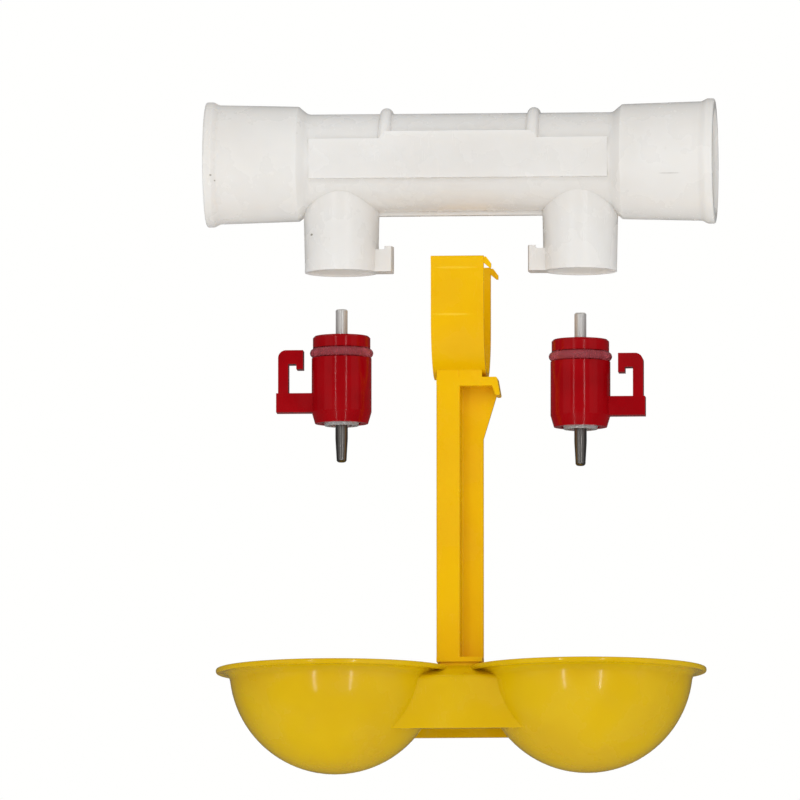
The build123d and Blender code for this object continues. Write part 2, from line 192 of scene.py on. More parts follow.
def add_noise(tree: bpy.types.NodeTree, vector: object, scale: object, detail: float) -> object:
    """Adds a Noise Texture node.

    Args:
        tree: The tree that gets the node.
        vector: The socket with the place.
        scale: The number of features in a metre, a number or a socket.
        detail: The number of finer layers.

    Returns:
        The node's factor socket.
    """
    node = tree.nodes.new("ShaderNodeTexNoise")
    for label, value in (("Vector", vector), ("Scale", scale), ("Detail", detail)):
        feed(tree, node.inputs[label], value)
    return node.outputs["Fac"]


def add_colour_mix(tree: bpy.types.NodeTree, factor: object, first: object, second: object) -> object:
    """Adds a Mix node for colours.

    Args:
        tree: The tree that gets the node.
        factor: The socket that goes from the first colour to the second.
        first: An opaque colour or a socket.
        second: An opaque colour or a socket.

    Returns:
        The node's colour socket.
    """
    node = tree.nodes.new("ShaderNodeMix")
    node.data_type = "RGBA"
    for number, value in zip(MIX_INPUTS, (factor, first, second)):
        feed(tree, node.inputs[number], value)
    return node.outputs[MIX_OUTPUT]


def flow_mottle_group() -> bpy.types.NodeTree:
    """Builds the slow clouds that a plastic's flow leaves in its colour.

    A wide noise and a finer one are added, each times its share, and the sum goes smoothly from one
    colour to the other.

    Returns:
        The group, with inputs Vector, Scale, Colour and Shade and the output Colour.
    """
    group, source, sink = new_group(
        "flow_mottle",
        {
            "Vector": ("NodeSocketVector", None),
            "Scale": ("NodeSocketFloat", 60.0),
            "Colour": ("NodeSocketColor", (0.8, 0.8, 0.8, 1.0)),
            "Shade": ("NodeSocketColor", (0.7, 0.7, 0.7, 1.0)),
        },
        {"Colour": "NodeSocketColor"},
    )
    vector, scale, colour, shade = (source.outputs[n] for n in ("Vector", "Scale", "Colour", "Shade"))
    fine_ratio = 4.3
    wide_share = 0.8
    fine_share = 0.2
    wide = add_noise(group, vector, scale, detail=1.0)
    fine = add_noise(group, vector, add_math(group, "MULTIPLY", scale, fine_ratio), detail=1.0)
    wide_part = add_math(group, "MULTIPLY", wide, wide_share)
    fine_part = add_math(group, "MULTIPLY", fine, fine_share)
    cloud = add_ramp(group, add_math(group, "ADD", wide_part, fine_part), span=(0.32, 0.68))
    group.links.new(add_colour_mix(group, cloud, colour, shade), sink.inputs["Colour"])
    return group


def handled_gloss_group() -> bpy.types.NodeTree:
    """Builds the patchy gloss of a handled moulding, with fine rub marks across it.

    A cloud of noise goes from the glossy value to the dull one, and thin bands of a stretched
    noise add to it.

    Returns:
        The group, with inputs Vector, Scale, Glossy and Dull and the output Roughness.
    """
    group, source, sink = new_group(
        "handled_gloss",
        {
            "Vector": ("NodeSocketVector", None),
            "Scale": ("NodeSocketFloat", 90.0),
            "Glossy": ("NodeSocketFloat", 0.2),
            "Dull": ("NodeSocketFloat", 0.35),
        },
        {"Roughness": "NodeSocketFloat"},
    )
    vector, scale, glossy, dull = (source.outputs[n] for n in ("Vector", "Scale", "Glossy", "Dull"))
    rub_stretch = (1.0, 1.0, 0.12)
    rub_ratio = 22.0
    cloud = add_noise(group, vector, scale, detail=4.0)
    stretched = add_vector_math(group, "MULTIPLY", vector, rub_stretch)
    rub = add_noise(group, stretched, add_math(group, "MULTIPLY", scale, rub_ratio), detail=2.0)
    rub_lines = add_ramp(group, rub, span=(0.62, 0.70), target=(0.0, 0.35))
    share = add_math(group, "ADD", add_ramp(group, cloud, span=(0.35, 0.68)), rub_lines)
    share = add_math(group, "MINIMUM", share, 1.0)
    gloss = add_ramp(group, share, span=(0.0, 1.0), target=(glossy, dull))
    group.links.new(gloss, sink.inputs["Roughness"])
    return group


def mould_grain_group() -> bpy.types.NodeTree:
    """Builds the faint relief of a moulded skin: a slow wave of sink and a fine spark-worked grain.

    The height is a sum of a wide noise and a fine noise, each times its own share.

    Returns:
        The group, with inputs Vector, Scale, Sink and Grain and the output Height.
    """
    group, source, sink = new_group(
        "mould_grain",
        {
            "Vector": ("NodeSocketVector", None),
            "Scale": ("NodeSocketFloat", 120.0),
            "Sink": ("NodeSocketFloat", 1.0),
            "Grain": ("NodeSocketFloat", 0.1),
        },
        {"Height": "NodeSocketFloat"},
    )
    vector, scale = source.outputs["Vector"], source.outputs["Scale"]
    fine_ratio = 30.0
    wide = add_noise(group, vector, scale, detail=1.0)
    fine = add_noise(group, vector, add_math(group, "MULTIPLY", scale, fine_ratio), detail=2.0)
    wide_part = add_math(group, "MULTIPLY", wide, source.outputs["Sink"])
    fine_part = add_math(group, "MULTIPLY", fine, source.outputs["Grain"])
    group.links.new(add_math(group, "ADD", wide_part, fine_part), sink.inputs["Height"])
    return group


def small_mark_group() -> bpy.types.NodeTree:
    """Builds one small mark with a ragged edge.

    The place less the mark's centre is divided by its half sizes. The mask is one where the length
    of that plus a share of a fine noise is low, and fades to nothing as it grows.

    Returns:
        The group, with inputs Vector, Centre and Reach and the output Mask.
    """
    group, source, sink = new_group(
        "small_mark",
        {
            "Vector": ("NodeSocketVector", None),
            "Centre": ("NodeSocketVector", (0.0, 0.0, 0.0)),
            "Reach": ("NodeSocketVector", (1.0 * MM, 1.0 * MM, 1.0 * MM)),
        },
        {"Mask": "NodeSocketFloat"},
    )
    vector, centre, reach = (source.outputs[n] for n in ("Vector", "Centre", "Reach"))
    ragged_scale = 2600.0
    ragged_share = 0.7
    offset = add_vector_math(group, "SUBTRACT", vector, centre)
    length = add_vector_math(group, "LENGTH", add_vector_math(group, "DIVIDE", offset, reach))
    ragged = add_noise(group, vector, ragged_scale, detail=2.0)
    edge = add_math(group, "ADD", length, add_math(group, "MULTIPLY", ragged, ragged_share))
    group.links.new(add_ramp(group, edge, span=(1.45, 0.95)), sink.inputs["Mask"])
    return group


def turned_lines_group() -> bpy.types.NodeTree:
    """Builds the fine lines that a lathe leaves round a pin.

    Noise is read at the place with its two level coordinates shrunk, so that it changes quickly up
    the pin and slowly round it.

    Returns:
        The group, with inputs Vector and Scale and the output Line.
    """
    group, source, sink = new_group(
        "turned_lines",
        {"Vector": ("NodeSocketVector", None), "Scale": ("NodeSocketFloat", 4000.0)},
        {"Line": "NodeSocketFloat"},
    )
    line_stretch = (0.06, 0.06, 1.0)
    stretched = add_vector_math(group, "MULTIPLY", source.outputs["Vector"], line_stretch)
    line = add_noise(group, stretched, source.outputs["Scale"], detail=3.0)
    group.links.new(line, sink.inputs["Line"])
    return group


@dataclass
class FinishKit:
    """The shared node groups, built once."""

    flow_mottle: bpy.types.NodeTree = field(default_factory=flow_mottle_group)
    handled_gloss: bpy.types.NodeTree = field(default_factory=handled_gloss_group)
    mould_grain: bpy.types.NodeTree = field(default_factory=mould_grain_group)
    small_mark: bpy.types.NodeTree = field(default_factory=small_mark_group)
    turned_lines: bpy.types.NodeTree = field(default_factory=turned_lines_group)

    def place(
        self, tree: bpy.types.NodeTree, group: bpy.types.NodeTree, vector: object, **values: object
    ) -> object:
        """Adds one of the groups to a material.

        Args:
            tree: The material's node tree.
            group: The group that is added.
            vector: The socket with the place.
            **values: The values of its other inputs, by their names in lower case.

        Returns:
            The group node's first output socket.
        """
        node = tree.nodes.new("ShaderNodeGroup")
        node.node_tree = group
        tree.links.new(vector, node.inputs["Vector"])
        set_inputs(node, {label.capitalize(): value for label, value in values.items()})
        return node.outputs[0]


# Finishes


@dataclass(frozen=True)
class SmallMark:
    """A speck or scratch on a face, or a painted highlight along a crease: its centre, its half sizes and how
    much it covers.
    """

    centre: Place
    reach: Place
    cover: float = 1.0


def start_material(name: str) -> tuple:
    """Starts a material.

    Args:
        name: The material's name.

    Returns:
        The material, its tree, its shader node and the socket with Object coordinates.
    """
    material = bpy.data.materials.new(name)
    material.use_nodes = True
    tree = material.node_tree
    place = tree.nodes.new("ShaderNodeTexCoord").outputs["Object"]
    return material, tree, tree.nodes["Principled BSDF"], place


def add_bump(tree: bpy.types.NodeTree, shader: bpy.types.Node, height: object, depth: float) -> None:
    """Turns a height into the shader's normal.

    Args:
        tree: The material's node tree.
        shader: The shader that gets the normal.
        height: The socket with the height.
        depth: The relief between heights of zero and one.
    """
    bump = tree.nodes.new("ShaderNodeBump")
    set_inputs(bump, {"Strength": 1.0, "Distance": depth})
    tree.links.new(height, bump.inputs["Height"])
    tree.links.new(bump.outputs["Normal"], shader.inputs["Normal"])


@dataclass(frozen=True)
class MouldedPlastic:
    """An injection-moulded plastic with a mottled colour, a handled gloss and a faint relief."""

    name: str
    colour: Colour
    shade: Colour
    glossy: float
    dull: float
    mottle_scale: float = 60.0
    relief_scale: float = 120.0
    relief_depth: float = 0.02 * MM
    grain: float = 0.08
    scatter: float = 0.0
    scatter_colour: Colour = (1.0, 1.0, 1.0)
    scatter_depth: float = 1.0 * MM
    specular: float = 0.5
    coat: float = 0.0
    coat_roughness: float = 0.08
    glow: float = 0.0
    glow_colour: Colour = (0.99, 0.99, 1.0)
    marks: tuple[SmallMark, ...] = ()
    mark_colour: Colour = (0.1, 0.09, 0.08)

    def build(self, kit: FinishKit) -> bpy.types.Material:
        """Builds the material.

        Args:
            kit: The shared node groups.

        Returns:
            The material.
        """
        material, tree, shader, place = start_material(self.name)
        colour = kit.place(
            tree,
            kit.flow_mottle,
            place,
            scale=self.mottle_scale,
            colour=opaque(self.colour),
            shade=opaque(self.shade),
        )
        # Each mark mixes the mark colour in: dark specks and scratches, or a lighter colour that paints a
        # highlight
        for mark in self.marks:
            mask = kit.place(tree, kit.small_mark, place, centre=mark.centre, reach=mark.reach)
            mask = add_math(tree, "MULTIPLY", mask, mark.cover)
            colour = add_colour_mix(tree, mask, colour, opaque(self.mark_colour))
        tree.links.new(colour, shader.inputs["Base Color"])
        gloss = kit.place(tree, kit.handled_gloss, place, glossy=self.glossy, dull=self.dull)
        tree.links.new(gloss, shader.inputs["Roughness"])
        relief = kit.place(tree, kit.mould_grain, place, scale=self.relief_scale, grain=self.grain)
        add_bump(tree, shader, relief, self.relief_depth)
        steady = {
            "Subsurface Weight": self.scatter,
            "Subsurface Radius": self.scatter_colour,
            "Subsurface Scale": self.scatter_depth,
            "Specular IOR Level": self.specular,
            "Coat Weight": self.coat,
            "Coat Roughness": self.coat_roughness,
            "Emission Color": opaque(self.glow_colour),
            "Emission Strength": self.glow,
        }
        set_inputs(shader, steady)
        return material


@dataclass(frozen=True)
class TurnedSteel:
    """A turned and polished steel with fine lines round it."""

    name: str
    colour: Colour
    shade: Colour
    glossy: float
    dull: float
    metal: float = 1.0
    relief_depth: float = 0.0001 * MM
    gloss_span: tuple[float, float] = (0.3, 0.7)

    def build(self, kit: FinishKit) -> bpy.types.Material:
        """Builds the material.

        Args:
            kit: The shared node groups.

        Returns:
            The material.
        """
        material, tree, shader, place = start_material(self.name)
        line = kit.place(tree, kit.turned_lines, place)
        colour = add_colour_mix(tree, line, opaque(self.colour), opaque(self.shade))
        tree.links.new(colour, shader.inputs["Base Color"])
        gloss = add_ramp(tree, line, self.gloss_span, target=(self.glossy, self.dull))
        tree.links.new(gloss, shader.inputs["Roughness"])
        add_bump(tree, shader, line, self.relief_depth)
        set_inputs(shader, {"Metallic": self.metal})
        return material


@dataclass(frozen=True)
class SeeThrough:
    """A clear plastic or rubber: how much light passes, and how strongly it is bent."""

    name: str
    colour: Colour
    shade: Colour
    glossy: float
    dull: float
    passes: float
    bend: float
    mottle_scale: float = 120.0
    gloss_scale: float = 150.0

    def build(self, kit: FinishKit) -> bpy.types.Material:
        """Builds the material.

        Args:
            kit: The shared node groups.

        Returns:
            The material.
        """
        material, tree, shader, place = start_material(self.name)
        colour = kit.place(
            tree,
            kit.flow_mottle,
            place,
            scale=self.mottle_scale,
            colour=opaque(self.colour),
            shade=opaque(self.shade),
        )
        tree.links.new(colour, shader.inputs["Base Color"])
        gloss = kit.place(
            tree, kit.handled_gloss, place, scale=self.gloss_scale, glossy=self.glossy, dull=self.dull
        )
        tree.links.new(gloss, shader.inputs["Roughness"])
        set_inputs(shader, {"Transmission Weight": self.passes, "IOR": self.bend})
        return material


TEE_MARKS = (
    SmallMark(centre=(-62.2 * MM, -14.0 * MM, -4.3 * MM), reach=(0.35 * MM, 3.0 * MM, 0.3 * MM), cover=0.8),
    SmallMark(centre=(-61.2 * MM, -14.0 * MM, -5.6 * MM), reach=(0.25 * MM, 3.0 * MM, 0.2 * MM), cover=0.8),
    SmallMark(centre=(-37.3 * MM, -6.2 * MM, -18.6 * MM), reach=(0.35 * MM, 3.0 * MM, 0.3 * MM)),
    SmallMark(centre=(53.3 * MM, -14.0 * MM, -4.6 * MM), reach=(3.0 * MM, 3.0 * MM, 0.16 * MM), cover=0.35),
)
# Painted highlights: two thin lighter lines along the creases of the clip's front jaw, where the flare starts
# and where the flat face turns under
CLIP_CREASE_HIGHLIGHTS = (
    SmallMark(centre=(-0.6 * MM, -14.8 * MM, -28.1 * MM), reach=(6.2 * MM, 1.4 * MM, 0.34 * MM), cover=0.3),
    SmallMark(centre=(-1.4 * MM, -14.6 * MM, -39.9 * MM), reach=(5.4 * MM, 1.4 * MM, 0.36 * MM), cover=0.35),
)
MILKY_WHITE = MouldedPlastic(
    name="milky_white_plastic",
    colour=(0.81, 0.79, 0.76),
    shade=(0.775, 0.75, 0.715),
    glossy=0.20,
    dull=0.34,
    mottle_scale=35.0,
    relief_scale=110.0,
    relief_depth=0.05 * MM,
    scatter=0.6,
    scatter_colour=(1.0, 0.92, 0.82),
    scatter_depth=3.0 * MM,
    marks=TEE_MARKS,
    mark_colour=(0.28, 0.25, 0.21),
)
VALVE_RED = MouldedPlastic(
    name="valve_red_plastic",
    colour=(0.33, 0.0008, 0.0035),
    shade=(0.28, 0.0007, 0.003),
    glossy=0.12,
    dull=0.24,
    mottle_scale=110.0,
    relief_scale=260.0,
    relief_depth=0.012 * MM,
    grain=0.01,
    specular=0.16,
    coat=0.1,
)
ARM_YELLOW = MouldedPlastic(
    name="arm_yellow_plastic",
    colour=(0.85, 0.49, 0.0012),
    shade=(0.81, 0.445, 0.001),
    glossy=0.20,
    dull=0.34,
    mottle_scale=45.0,
    relief_scale=150.0,
    relief_depth=0.04 * MM,
    scatter=0.12,
    scatter_colour=(1.0, 0.55, 0.02),
    specular=0.15,
    # The marks are painted highlights along the clip's creases, in this lighter yellow
    marks=CLIP_CREASE_HIGHLIGHTS,
    mark_colour=(1.0, 0.70, 0.06),
)
CUP_YELLOW = MouldedPlastic(
    name="cup_yellow_plastic",
    colour=(0.72, 0.465, 0.0012),
    shade=(0.67, 0.415, 0.001),
    glossy=0.16,
    dull=0.30,
    mottle_scale=40.0,
    relief_scale=120.0,
    relief_depth=0.05 * MM,
    scatter=0.12,
    scatter_colour=(1.0, 0.6, 0.02),
    specular=0.25,
    coat=0.5,
)
SILICONE = MouldedPlastic(
    name="silicone",
    colour=(0.66, 0.65, 0.62),
    shade=(0.60, 0.59, 0.56),
    glossy=0.45,
    dull=0.60,
    mottle_scale=200.0,
)
INNER_PLASTIC = MouldedPlastic(
    name="inner_plastic",
    colour=(0.76, 0.76, 0.74),
    shade=(0.70, 0.70, 0.68),
    glossy=0.35,
    dull=0.50,
    mottle_scale=200.0,
)
PALE_FLOOR = MouldedPlastic(
    name="pale_floor",
    colour=(0.88, 0.88, 0.87),
    shade=(0.87, 0.87, 0.86),
    glossy=0.70,
    dull=0.80,
    mottle_scale=2.0,
    glow=0.32,
)
UPPER_STEEL = TurnedSteel(
    name="polished_steel",
    colour=(0.95, 0.93, 0.90),
    shade=(0.88, 0.86, 0.82),
    glossy=0.30,
    dull=0.38,
    metal=0.65,
)
LOWER_STEEL = TurnedSteel(
    name="dark_polished_steel",
    colour=(0.36, 0.34, 0.32),
    shade=(0.27, 0.255, 0.24),
    glossy=0.28,
    dull=0.36,
)
SEAT_STEEL = TurnedSteel(
    name="plain_steel",
    colour=(0.60, 0.59, 0.57),
    shade=(0.48, 0.47, 0.46),
    glossy=0.25,
    dull=0.40,
)
SEAL_RUBBER = SeeThrough(
    name="clear_rubber",
    colour=(0.74, 0.15, 0.18),
    shade=(0.66, 0.13, 0.16),
    glossy=0.20,
    dull=0.30,
    passes=0.70,
    bend=1.25,
)
CLEAR_PLUG = SeeThrough(
    name="clear_plastic",
    colour=(0.96, 0.95, 0.94),
    shade=(0.90, 0.89, 0.88),
    glossy=0.05,
    dull=0.16,
    passes=0.6,
    bend=1.49,
)


# Surfaces


def round_corners(points: np.ndarray, radius: float, closed: bool, steps: int = 6) -> np.ndarray:
    """Rounds the corners of a profile.

    Each corner becomes a circular arc: a rational quadratic curve between its two tangent points,
    pulled to the corner with the sine of half the inner angle as its middle weight. A tangent
    point lies the radius over the tangent of that half angle from the corner.

    Args:
        points: The corners, one row each.
        radius: The arc's radius.
        closed: True if the last corner joins the first. Otherwise both ends stay as they are.
        steps: The number of points on an arc.

    Returns:
        The rounded profile's points, one row each.
    """
    if closed:
        before, corner, after = np.roll(points, 1, axis=0), points, np.roll(points, -1, axis=0)
    else:
        before, corner, after = points[:-2], points[1:-1], points[2:]
    back = (before - corner) / np.linalg.norm(before - corner, axis=1, keepdims=True)
    ahead = (after - corner) / np.linalg.norm(after - corner, axis=1, keepdims=True)
    half_angle = np.arccos(np.clip((back * ahead).sum(axis=1), -1.0, 1.0)) / 2
    reach = (radius / np.tan(half_angle))[:, None]
    weight = np.sin(half_angle)[:, None, None]
    t = np.linspace(0.0, 1.0, steps)[None, :, None]
    start, end = (corner + back * reach)[:, None, :], (corner + ahead * reach)[:, None, :]
    pull = 2 * weight * t * (1 - t)
    pulled = (1 - t) ** 2 * start + pull * corner[:, None, :] + t**2 * end
    arcs = (pulled / ((1 - t) ** 2 + pull + t**2)).reshape(-1, 2)
    return arcs if closed else np.vstack((points[:1], arcs, points[-1:]))


def refine_profile(points: np.ndarray, spacing: float, decimals: int = 7) -> np.ndarray:
    """Adds points along a profile's runs.

    The length walked along the profile is cut at each old point and at every multiple of the
    spacing, and both coordinates are read off there.

    Args:
        points: The profile's points, one row each.
        spacing: The distance between the added points.
        decimals: The decimals of a metre that tell two cuts apart.

    Returns:
        The finer profile's points, one row each.
    """
    walked = np.concatenate(([0.0], np.cumsum(np.linalg.norm(np.diff(points, axis=0), axis=1))))
    cuts = np.concatenate((walked, np.arange(0.0, walked[-1], spacing)))
    cuts = np.unique(np.round(cuts, decimals))
    return np.column_stack((np.interp(cuts, walked, points[:, 0]), np.interp(cuts, walked, points[:, 1])))


def make_surface(
    name: str, corners: np.ndarray, quads: np.ndarray, triangles: np.ndarray = NO_TRIANGLES
) -> bpy.types.Object:
    """Puts a smooth surface into the scene, with its face normals weighted by area.

    Args:
        name: The object's name.
        corners: The vertices, one row each.
        quads: The four-sided faces, one row of vertex numbers each.
        triangles: The three-sided faces, one row of vertex numbers each.

    Returns:
        The new object, at the origin.
    """
    mesh = bpy.data.meshes.new(name)
    mesh.vertices.add(len(corners))
    mesh.vertices.foreach_set("co", corners.astype(np.float32).ravel())
    sides = np.concatenate((np.full(len(quads), 4), np.full(len(triangles), 3)))
    loops = np.concatenate((quads.ravel(), triangles.ravel()))
    mesh.loops.add(len(loops))
    mesh.loops.foreach_set("vertex_index", loops.astype(np.int32))
    mesh.polygons.add(len(sides))
    mesh.polygons.foreach_set("loop_start", (np.cumsum(sides) - sides).astype(np.int32))
    mesh.polygons.foreach_set("use_smooth", np.ones(len(sides), dtype=bool))
    mesh.update(calc_edges=True)
    mesh.validate()
    piece = bpy.data.objects.new(name, mesh)
    bpy.context.scene.collection.objects.link(piece)
    weighted = piece.modifiers.new("weighted_normals", "WEIGHTED_NORMAL")
    weighted.weight = LARGE_FACE_WEIGHT
    return piece


def lathe(name: str, profile: np.ndarray, axis_x: float, closed: bool, turns: int = 96) -> bpy.types.Object:
    """Turns a profile round an upright axis.

    A point at radius r and height z goes, at the angle a, to (axis + r cos a, r sin a, z). An open
    profile goes from its lower pole to its upper one, and each pole is one vertex. A closed
    profile goes round with its outer side upwards.

    Args:
        name: The object's name.
        profile: Radius and height of each point, one row each.
        axis_x: The axis's place along the pipe.
        closed: True if the profile's last point joins its first.
        turns: The number of steps in a full turn.

    Returns:
        The new object.
    """
    rings = profile if closed else profile[1:-1]
    angle = np.linspace(0.0, 2 * np.pi, turns, endpoint=False)[None, :]
    radius, height = rings[:, :1], rings[:, 1:]
    grid = np.stack(
        (axis_x + radius * np.cos(angle), radius * np.sin(angle), height + np.zeros_like(angle)), axis=-1
    ).reshape(-1, 3)
    rows = len(rings)
    row = np.arange(rows if closed else rows - 1)[:, None] * turns
    upper = (row + turns) % (rows * turns)
    here = np.arange(turns)[None, :]
    there = (here + 1) % turns
    quads = np.stack((row + here, row + there, upper + there, upper + here), axis=-1).reshape(-1, 4)
    if closed:
        return make_surface(name, grid, quads)
    poles = np.array([[axis_x, 0.0, profile[0, 1]], [axis_x, 0.0, profile[-1, 1]]])
    foot, crown = rows * turns, rows * turns + 1
    last = (rows - 1) * turns
    around, onward = here.ravel(), there.ravel()
    lower_fan = np.column_stack((np.full(turns, foot), onward, around))
    upper_fan = np.column_stack((np.full(turns, crown), last + around, last + onward))
    return make_surface(name, np.vstack((grid, poles)), quads, np.vstack((lower_fan, upper_fan)))


def finish_piece(
    piece: bpy.types.Object, material: bpy.types.Material, body: str, node: str
) -> None:
    """Gives a new piece its material and ties it to the frame.

    Args:
        piece: The new piece.
        material: Its material.
        body: The body that it rides on.
        node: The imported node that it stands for.
    """
    piece.data.materials.append(material)
    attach(piece, body)
    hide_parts(node)


def dress_node(node: str, material: bpy.types.Material) -> None:
    """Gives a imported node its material.

    Args:
        node: The node's name.
        material: The material that fills its slots.
    """
    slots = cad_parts[node].data.materials
    slots.clear()
    slots.append(material)


# The product


@dataclass
class PipeTee:
    """The milky white fitting that joins the drinker line and feeds both valves."""

    node: str = "tee_fitting"
    finish: MouldedPlastic = MILKY_WHITE

    def build(self, kit: FinishKit) -> None:
        """Dresses the fitting.

        Args:
            kit: The shared node groups.
        """
        dress_node(self.node, self.finish.build(kit))
        log.info("%s dressed", self.node)


@dataclass
class NippleValve:
    """One red nipple valve with its two steel pins, its seal ring and its clear plug."""

    side: Side
    materials: dict[str, bpy.types.Material]
    shank_radius: float = 1.5 * MM
    shank_chamfer: float = 0.3 * MM
    cone_radius: float = 3.2 * MM
    cone_rim: float = 0.8 * MM
    cone_height: float = 1.2 * MM
    cone_rise: float = 5.65 * MM
    tail_radius: float = 1.2 * MM
    head_radius: float = 3.0 * MM
    head_flat: float = 0.6 * MM
    stem_radius: float = 1.57 * MM
    tip_radius: float = 1.27 * MM
    tip_round: float = 0.7 * MM
    tip_taper: float = 6.0 * MM
    groove_pitch: float = 0.62 * MM
    groove_depth: float = 0.012 * MM
    grooved_length: float = 4.4 * MM
    plug_nose_radius: float = 4.3 * MM
    plug_hole_radius: float = 3.1 * MM
    plug_nose_height: float = 1.2 * MM
    ring_flash: float = 0.03 * MM
    ring_flash_angle: float = 0.07
    edge_round: float = 0.12 * MM
    tail_steps: int = 12
    tip_steps: int = 16
    ball_steps: int = 40
    steps_per_groove: int = 10
    ring_steps: int = 72
    ring_turns: int = 128

    def __post_init__(self) -> None:
        """Reads the valve's axis from its seal ring."""
        low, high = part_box(self.name("o_ring"))
        self.axis_x = (low.x + high.x) / 2

    def name(self, piece: str) -> str:
        """The name of this side's piece."""
        return f"{self.side.value}_{piece}"

    def build_upper_pin(self) -> None:
        """Builds the bright pin that stands out of the top: a round tail, a cone head and a shank.

        The profile is a quarter circle for the tail's end, then straight runs with rounded corners.
        """
        low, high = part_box(self.name("valve_pin"))
        tail_angle = np.linspace(0.0, np.pi / 2, self.tail_steps)
        tail = np.column_stack(
            (self.tail_radius * np.sin(tail_angle), low.z + self.tail_radius * (1 - np.cos(tail_angle)))
        )
        head_foot = low.z + self.cone_rise
        head_top = head_foot + self.cone_rim
        runs = np.array(
            [
                (self.tail_radius, tail[-1, 1]),
                (self.tail_radius, head_foot),
                (self.cone_radius, head_foot),
                (self.cone_radius, head_top),
                (self.shank_radius, head_top + self.cone_height),
                (self.shank_radius, high.z - self.shank_chamfer),
                (self.shank_radius - self.shank_chamfer, high.z),
                (0.0, high.z),
            ]
        )
        profile = np.vstack((tail[:-1], round_corners(runs, self.edge_round, closed=False)))
        piece = lathe(self.name("turned_upper_pin"), profile, self.axis_x, closed=False)
        finish_piece(
            piece, self.materials["upper_steel"], self.name("upper_pin"), self.name("valve_pin")
        )

    def build_trigger_pin(self) -> None:
        """Builds the darker pin that the bird pushes: a grooved blunt tip, a stem and a ball head.

        The tip's edge is a quarter circle and the head a circle cut flat on top. The grooves are a
        squared sine of the height over the grooved length, taken off the radius, and fade in over the
        tip and out at the top.
        """
        low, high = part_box(self.name("trigger_pin"))
        pivot = high.z - self.head_flat
        tip_angle = np.linspace(0.0, np.pi / 2, self.tip_steps)
        edge = np.column_stack(
            (
                self.tip_radius - self.tip_round * (1 - np.sin(tip_angle)),
                low.z + self.tip_round * (1 - np.cos(tip_angle)),
            )
        )
        tip = np.vstack(([(0.0, low.z)], edge))
        neck_angle = -math.acos(self.stem_radius / self.head_radius)
        brow_angle = math.asin(self.head_flat / self.head_radius)
        ball_angle = np.linspace(neck_angle, brow_angle, self.ball_steps)
        ball = np.column_stack(
            (self.head_radius * np.cos(ball_angle), pivot + self.head_radius * np.sin(ball_angle))
        )
        stem = np.array([tip[-1], (self.stem_radius, low.z + self.tip_taper), ball[0]])
        shaft = refine_profile(np.vstack((tip[:-1], stem)), self.groove_pitch / self.steps_per_groove)
        height = shaft[:, 1] - low.z
        groove_start = self.tip_radius / 2
        fade = np.clip((height - groove_start) / self.tip_radius, 0.0, 1.0)
        fade *= np.clip((self.grooved_length - height) / self.groove_pitch, 0.0, 1.0)
        shaft[:, 0] -= self.groove_depth * fade * np.sin(np.pi * height / self.groove_pitch) ** 2
        profile = np.vstack((shaft[:-1], ball, [(0.0, high.z)]))
        piece = lathe(self.name("turned_trigger_pin"), profile, self.axis_x, closed=False)
        finish_piece(
            piece, self.materials["lower_steel"], self.name("trigger"), self.name("trigger_pin")
        )

    def build_seal_ring(self) -> None:
        """Builds the ring in the housing's groove, with the thin flash line of its mould.

        The section is a circle whose radius has a narrow bell-shaped bump of the flash's height
        where the ring is widest.
        """
        low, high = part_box(self.name("o_ring"))
        section = (high.z - low.z) / 2
        centre = (high.x - low.x) / 2 - section
        angle = np.linspace(-np.pi, np.pi, self.ring_steps, endpoint=False)
        body = section - self.ring_flash
        radius = body + self.ring_flash * np.exp(-((angle / self.ring_flash_angle) ** 2))
        profile = np.column_stack(
            (centre + radius * np.cos(angle), (low.z + high.z) / 2 + radius * np.sin(angle))
        )
        piece = lathe(
            self.name("moulded_seal_ring"), profile, self.axis_x, closed=True, turns=self.ring_turns
        )
        finish_piece(
            piece, self.materials["rubber"], self.name("seal_ring"), self.name("o_ring")
        )

    def build_plug(self) -> None:
        """Builds the clear plug that holds the stack in: straight runs with rounded corners."""
        low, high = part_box(self.name("retaining_washer"))
        outer = (high.x - low.x) / 2
        shoulder = low.z + self.plug_nose_height
        runs = np.array(
            [
                (self.plug_hole_radius, low.z),
                (self.plug_nose_radius, low.z),
                (self.plug_nose_radius, shoulder - (outer - self.plug_nose_radius)),
                (outer, shoulder),
                (outer, high.z),
                (self.plug_hole_radius, high.z),
            ]
        )
        profile = round_corners(runs, self.edge_round, closed=True)
        piece = lathe(self.name("clear_plug"), profile, self.axis_x, closed=True)
        finish_piece(
            piece, self.materials["clear"], self.name("housing"), self.name("retaining_washer")
        )

    def build(self) -> None:
        """Builds and dresses the whole valve."""
        self.build_upper_pin()
        self.build_trigger_pin()
        self.build_seal_ring()
        self.build_plug()
        dress_node(self.name("valve_housing"), self.materials["red"])
        dress_node(self.name("valve_seal"), self.materials["silicone"])
        dress_node(self.name("trigger_seal"), self.materials["silicone"])
        dress_node(self.name("spacer_sleeve"), self.materials["inner"])
        dress_node(self.name("valve_seat"), self.materials["seat_steel"])
        log.info("%s valve built", self.side.value)


@dataclass
class HangingCup:
    """The yellow double cup and the arm that hangs it from the tee."""

    arm_node: str = "hanger_arm"
    cup_node: str = "double_cup"
    arm_finish: MouldedPlastic = ARM_YELLOW
    cup_finish: MouldedPlastic = CUP_YELLOW

    def build(self, kit: FinishKit) -> None:
        """Dresses the arm and the cup.

        Args:
            kit: The shared node groups.
        """
        dress_node(self.arm_node, self.arm_finish.build(kit))
        dress_node(self.cup_node, self.cup_finish.build(kit))
        log.info("%s and %s dressed", self.arm_node, self.cup_node)


# Studio


